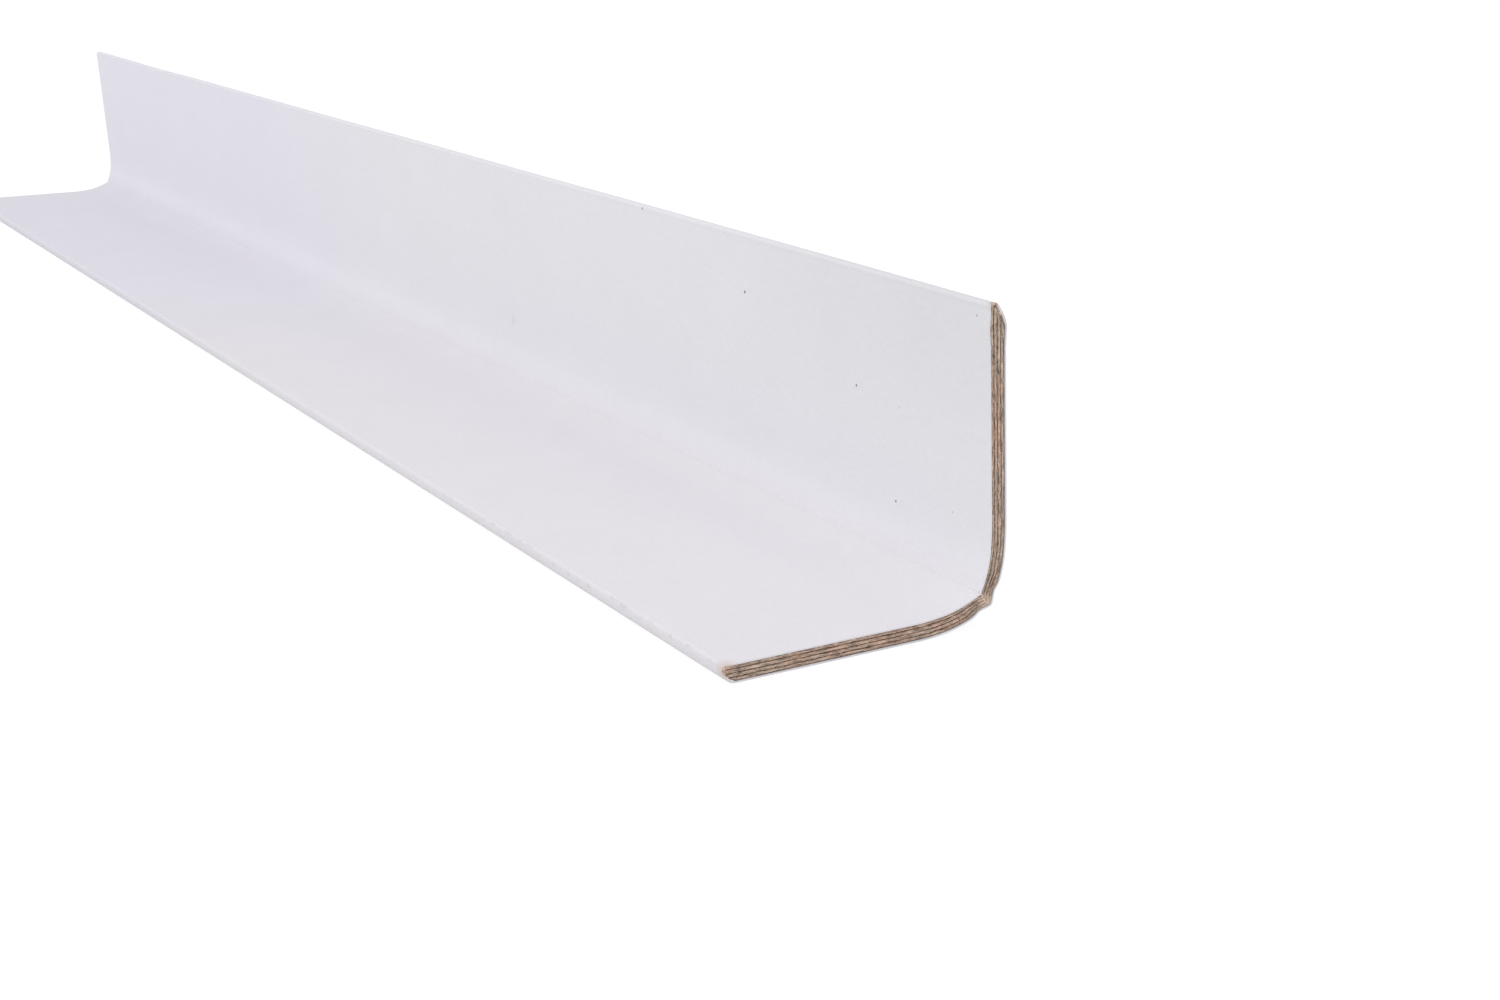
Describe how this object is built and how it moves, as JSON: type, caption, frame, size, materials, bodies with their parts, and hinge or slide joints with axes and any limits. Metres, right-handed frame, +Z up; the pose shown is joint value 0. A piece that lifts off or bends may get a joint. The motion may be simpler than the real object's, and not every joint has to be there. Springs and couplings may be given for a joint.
{
  "type": "edge protector",
  "caption": "L-shaped laminated paperboard angle with a white paper liner, laid over the edge of a load under straps or film.",
  "frame": {"origin": "on the floor, below the middle of the part's box", "axes": "+X along the length, towards the end that the picture shows; +Y towards the outer face of the standing leg; +Z up"},
  "size_m": [0.5, 0.0494, 0.0499],
  "materials": {
    "brown_board": "matte cut plies",
    "white_paper": "smooth matte paper"
  },
  "bodies": {
    "root": {"board_core": "brown_board", "white_liner": "white_paper"}
  },
  "joints": []
}
